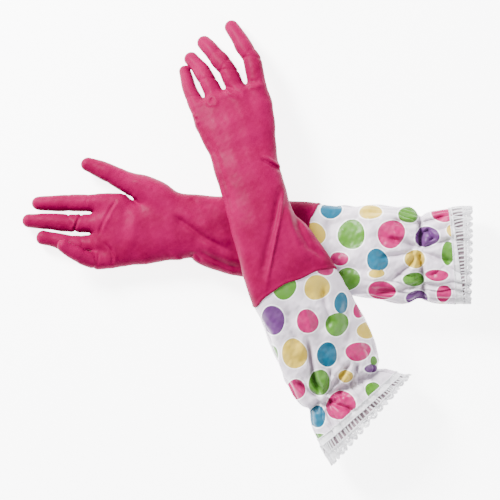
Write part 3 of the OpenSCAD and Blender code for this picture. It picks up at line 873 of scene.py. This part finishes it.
def dot_offsets(sleeve, s, turn, grid, arc, around):
    """Every dot as two offsets from its centre, its radius and colour, and where it shows."""
    top, bottom = np.sin(turn) > -0.12, np.sin(turn) < -0.25
    dots = []
    for x, y, wide, high, colour in DOTS[sleeve.side]:
        radius = min(wide, high)
        one, two = (grid[..., 0] - x) * radius / wide, (grid[..., 1] - y) * radius / high
        dots.append((one, two, radius, colour, top))
    for along_it, round_it, radius, colour in sleeve.dots:
        dots.append((s - along_it, wrapped(arc - round_it, around[:, None]), radius, colour, bottom))
    return dots


def paint_cloth(obj, sleeve, s, turn, grid, arc, around):
    """Stores each vertex's distance to the nearest dot's edge, that dot's colour, and its depth in a fold,
    which drives the painted shade in the folds.
    """
    best = np.full(s.shape, FAR)
    tone = np.zeros(s.shape + (3,))
    for i, (one, two, radius, colour, shown) in enumerate(dot_offsets(sleeve, s, turn, grid, arc, around)):
        angle = np.arctan2(two, one)
        wobble = 1 + 0.05 * np.sin(2 * angle + i) + 0.03 * np.sin(3 * angle + 2.1 * i)
        d = np.where(shown, np.hypot(one, two) - radius * wobble, FAR)
        near = d < best
        best = np.where(near, d, best)
        tone = np.where(near[..., None], DOT_COLOURS[colour], tone)
    # The fold depth on top of the arm is stored for the painted shade in the folds.
    fold_shade_depth = -relief(grid[..., 0], grid[..., 1], CLOTH_CREASES[sleeve.side]) * facing_up(turn)
    attribute(obj, "dot", np.clip(best, -8, 8).ravel())
    attribute(obj, "fold", np.clip(fold_shade_depth / 4, 0, 1).ravel())
    attribute(obj, "tone", tone.reshape(-1, 3), "FLOAT_VECTOR")
    attribute(obj, "cloth", np.stack([s, arc, 0 * s], -1).reshape(-1, 3) * MM, "FLOAT_VECTOR")


def paint_band(obj, sleeve, s, turn, grid):
    """Carries the sleeve's print on to a band that lies on it, so the dots run through."""
    row = np.interp(s[:, 0], sleeve.rows, np.arange(len(sleeve.rows)))
    low = np.floor(row).astype(int)
    high = np.minimum(low + 1, len(sleeve.rows) - 1)
    share = row - low
    arc = sleeve.arc[low] * (1 - share[:, None]) + sleeve.arc[high] * share[:, None]
    around = sleeve.around[low] * (1 - share) + sleeve.around[high] * share
    paint_cloth(obj, sleeve, s, turn, grid, arc, around)


def settle(obj, side, nodes):
    """Puts a piece of the sleeve on the forearm in place of its CAD nodes."""
    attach(obj, f"{side}_forearm")
    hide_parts(*(f"{side}_{node}" for node in nodes))


def build_sleeve(sleeve, materials):
    """The printed cloth, and its flat size."""
    side = sleeve.side
    start, end = sleeve.mouth - CLOTH_PAST_MOUTH, sleeve.hem + CLOTH_IN_RUBBER
    s, turn = np.meshgrid(np.linspace(start, end, SLEEVE_ROWS), ring_turns(), indexing="ij")
    grid = sleeve.point(s, turn)
    step = np.linalg.norm(np.diff(grid, axis=1, append=grid[:, :1]), axis=2)
    sleeve.rows, sleeve.arc, sleeve.around = s[:, 0], np.cumsum(step, 1) - step, step.sum(1)
    sleeve.dots = dot_layout(sleeve, s, turn)
    faces = grid_faces(SLEEVE_ROWS, SLEEVE_SIDES, True)
    obj = new_piece(f"{side}_sleeve_cloth", grid.reshape(-1, 3), faces, materials["sleeve"])
    paint_cloth(obj, sleeve, s, turn, grid, sleeve.arc, sleeve.around)
    thicken(obj, CLOTH_WALL)
    settle(obj, side, ["sleeve"])
    area = np.linalg.norm(np.cross(np.diff(grid, axis=0)[:, :-1], np.diff(grid, axis=1)[:-1]), axis=2).sum()
    length = (end - start) * 1.04  # laid flat, without its folds, it is a little longer
    return obj, (area / length * MM, length * MM)


def build_band(sleeve, name, ends, rows, lift, wall, material, nodes, slot):
    """A strip that follows the gathered sleeve between two lengths; lift gives its height at each point."""
    side = sleeve.side
    s, turn = np.meshgrid(np.linspace(*ends, rows), ring_turns(), indexing="ij")
    grid = sleeve.point(s, turn, lift(s, turn))
    obj = new_piece(f"{side}_{name}", grid.reshape(-1, 3), grid_faces(rows, SLEEVE_SIDES, True), material)
    if slot == "sleeve_print":
        paint_band(obj, sleeve, s, turn, grid)
    thicken(obj, wall, 1.0)
    settle(obj, side, nodes)
    return obj


def sweep(paths, radius, sides=6):
    """Vertices and faces of round threads; a path is an array of points."""
    verts, faces = [], []
    base = 0
    for path in paths:
        d = unit(np.gradient(path, axis=0))
        helper = np.where(np.abs(d[:, 2:3]) < 0.9, [[0, 0, 1.0]], [[1.0, 0, 0]])
        a = unit(np.cross(d, helper))
        b = np.cross(d, a)
        turn = np.arange(sides) * TURN / sides
        ring = a[:, None] * np.cos(turn)[None, :, None] + b[:, None] * np.sin(turn)[None, :, None]
        verts.append((path[:, None] + radius * ring).reshape(-1, 3))
        faces.append(base + grid_faces(len(path), sides, True)[:, ::-1])
        base += len(path) * sides
    return np.concatenate(verts), np.concatenate(faces)


def build_threads(sleeve, name, paths, radius, material, node):
    """A piece made of round threads."""
    obj = new_piece(f"{sleeve.side}_{name}", *sweep(paths, radius), material)
    settle(obj, sleeve.side, [node])
    return obj


# -------- lace
def build_tape(sleeve, edge, material):
    """The heading tape on the cloth's edge, with a woven relief."""

    def lift(s, turn):
        return 0.75 + 0.22 * np.abs(np.sin(75 * turn)) * np.abs(np.sin(1.6 * s))

    ends = (edge, sleeve.mouth + TAPE_OVERLAP)
    return build_band(sleeve, "lace_band", ends, 14, lift, 0.5, material, ["lace_tape"], "lace")


def build_shade_sheet(sleeve, edge, rail, material):
    """A dark sheet behind the ladder's gaps: painted shade, standing for the shadowed inside seen through
    them.
    """
    ends, nodes = (rail - 0.4, edge + 0.6), ["lace_ladder"]
    return build_band(sleeve, "lace_shade_sheet", ends, 8, lambda s, turn: -0.5, 0.12, material, nodes, "lace")


def build_ladder(sleeve, edge, rail, material):
    """The openwork row of bars between the tape and the edging's rail."""
    run = np.linspace(edge + 0.8, rail - 0.3, 6)
    bars = []
    for i in range(BARS):
        lean = 0.006 * math.sin(5 * i) * np.linspace(0, 1, len(run))
        bars.append(sleeve.point(run, TURN * i / BARS + lean, LACE_LIFT))
    return build_threads(sleeve, "lace_bars", bars, BAR_RADIUS, material, "lace_ladder")


def scallop_threads(sleeve, foot, left, width):
    """One scallop: two arches, the small loops along the outer one, and the struts under them."""
    threads = []
    share = np.linspace(0, 1, 19)
    arch = np.sin(math.pi * share) ** SCALLOP_SQUARENESS
    for scale in (1.0, 0.62):
        turn = left + width * ((1 - scale) / 2 + scale * share)
        threads.append(sleeve.point(foot - SCALLOP_DEPTH * scale * arch, turn, LACE_LIFT))
    loop = np.linspace(0, TURN, 9)
    for j in range(1, PICOTS + 1):
        share = j / (PICOTS + 1)
        turn = left + width * share
        at = foot - SCALLOP_DEPTH * math.sin(math.pi * share) ** SCALLOP_SQUARENESS
        threads.append(sleeve.point(at - 0.8 - 0.95 * np.cos(loop), turn + 0.014 * np.sin(loop), LACE_LIFT))
        if j % 2 == 0:
            threads.append(sleeve.point(np.linspace(foot, at, 5), turn, 0.3))
    return threads


def build_edging(sleeve, edge, rail, material):
    """The cords along the rails and the tape's edges, and the scallops."""
    cords = ((rail, LACE_LIFT), (rail - 1.3, LACE_LIFT), (rail - 0.65, 0.75),
             (edge + 0.5, CORD_LIFT), (sleeve.mouth + TAPE_OVERLAP - 0.1, CORD_LIFT))
    rim = np.linspace(0, TURN, 721)
    threads = [sleeve.point(at + 0.18 * np.sin(150 * rim), rim, lift) for at, lift in cords]
    width = TURN / SCALLOPS
    for i in range(SCALLOPS):
        threads += scallop_threads(sleeve, rail - SCALLOP_FOOT, i * width, width)
    return build_threads(sleeve, "lace_scallops", threads, THREAD_RADIUS, material, "lace_edging")


def build_stitching(sleeve, material):
    """The row of stitches that holds the tape on the cloth."""
    share = np.linspace(0, 1, 7)
    sewn = []
    for i in range(STITCHES):
        turn = TURN * (i + 0.1 + 0.65 * share) / STITCHES
        sewn.append(sleeve.point(sleeve.mouth + 1.6, turn, 1.25 + 0.35 * np.sin(math.pi * share)))
    return build_threads(sleeve, "lace_stitches", sewn, STITCH_RADIUS, material, "lace_stitching")


def build_lace(sleeve, materials):
    edge = sleeve.mouth - TAPE_REACH
    rail = edge - LADDER_WIDTH
    lace = materials["lace"]
    return [
        build_tape(sleeve, edge, lace),
        build_shade_sheet(sleeve, edge, rail, materials["shade_sheet"]),
        build_ladder(sleeve, edge, rail, lace),
        build_edging(sleeve, edge, rail, lace),
        build_stitching(sleeve, materials["thread"]),
    ]


# -------- one arm
def build_casing(sleeve, material):
    """The gathered casing that holds the elastic."""

    def lift(s, turn):
        crown = np.cos(math.pi * (s - sleeve.elastic) / (2 * CASING_HALF)).clip(0)
        return 0.35 + crown * (0.55 + 0.45 * np.sin(62 * turn + 2 * np.sin(5 * turn)))

    ends = (sleeve.elastic - CASING_HALF, sleeve.elastic + CASING_HALF)
    nodes = ["elastic_casing", "elastic"]
    return build_band(sleeve, "elastic_channel", ends, 22, lift, 0.4, material, nodes, "sleeve_print")


def build_seam(sleeve, material):
    """The raised side seam, on the side away from the thumb."""
    rows, cols = 120, 7
    across = np.linspace(-1, 1, cols)
    run = np.linspace(sleeve.mouth + 3.5, sleeve.hem - 6, rows)
    s, turn = np.meshgrid(run, math.pi + SEAM_HALF_ANGLE * across, indexing="ij")
    rise = 0.25 + 0.5 * np.sqrt(1 - across**2) * (0.8 + 0.2 * np.sin(2.2 * s))
    points = sleeve.point(s, turn, rise).reshape(-1, 3)
    seam = new_piece(f"{sleeve.side}_seam_welt", points, grid_faces(rows, cols, False), material)
    thicken(seam, 0.3)
    settle(seam, sleeve.side, ["side_seam"])
    return seam


def build_arm(side, materials):
    sleeve = Sleeve(side)
    cloth, flat = build_sleeve(sleeve, materials)
    casing = build_casing(sleeve, materials["sleeve"])
    seam = build_seam(sleeve, materials["plain"])
    trim = build_lace(sleeve, materials)


# -------- stage
def build_world():
    world = bpy.data.worlds.new("studio")
    bpy.context.scene.world = world
    world.use_nodes = True
    background = world.node_tree.nodes["Background"]
    background.inputs["Color"].default_value = (1, 1, 1, 1)
    background.inputs["Strength"].default_value = 0.5


def build_floor():
    """A bright sheet of paper just under the gloves."""
    half = 3.0
    corners = [(-half, -half, 0), (half, -half, 0), (half, half, 0), (-half, half, 0)]
    mesh = bpy.data.meshes.new("floor")
    mesh.from_pydata(corners, [], [(0, 1, 2, 3)])
    floor = into_scene("floor", mesh)
    floor.location.z = -0.0004
    m = Nodes("floor_paper")
    mesh.materials.append(m.finish(Base_Color=(0.95, 0.95, 0.95, 1), Roughness=0.9,
                                   Emission_Color=(1, 1, 1, 1), Emission_Strength=5.5))


def build_lamps():
    """Square lamps, each as (name, place, width, watts), aimed at the middle of the pair."""
    lamps = (
        ("key", (-1.2, 1.2, 1.15), 0.6, 200),
        ("fill", (1.4, -0.5, 1.1), 1.2, 30),
        ("top", (0.1, 0.1, 2.4), 1.6, 20),
    )
    for name, place, width, power in lamps:
        light = bpy.data.lights.new(name, "AREA")
        light.size = width
        light.energy = power
        lamp = into_scene(name, light)
        lamp.location = place
        aim = -lamp.location.normalized()
        lamp.rotation_euler = aim.to_track_quat("-Z", "Y").to_euler()


def build_camera():
    """A camera high above the pair that takes in its full width at the height of the gloves."""
    height, across, scale_height = 3.2, 0.55, 0.03
    camera = bpy.data.cameras.new("camera")
    camera.sensor_width = 36
    camera.lens = camera.sensor_width * (height - scale_height) / across
    camera.clip_end = 20
    eye = into_scene("camera", camera)
    eye.location = (-0.0022, -0.0095, height)
    bpy.context.scene.camera = eye


materials = {
    "rubber": rubber_material(),
    "sleeve": sleeve_material(),
    "plain": cotton_material("sleeve_plain", (0.56, 0.49, 0.57), (0.64, 0.58, 0.65), 120),
    "lace": cotton_material("lace_cotton", (0.55, 0.54, 0.57), (0.72, 0.71, 0.74), 300),
    # Painted shade: this dark sheet colour stands for the shadowed inside of the sleeve seen through the
    # ladder's gaps.
    "shade_sheet": cotton_material("lace_shade_sheet", (0.10, 0.06, 0.075), (0.24, 0.17, 0.20), 900),
    "thread": cotton_material("sewing_thread", (0.50, 0.49, 0.52), (0.64, 0.63, 0.66), 500),
}
for side in ("right", "left"):
    build_skin(side, materials["rubber"])
    build_arm(side, materials)
build_world()
build_floor()
build_lamps()
build_camera()
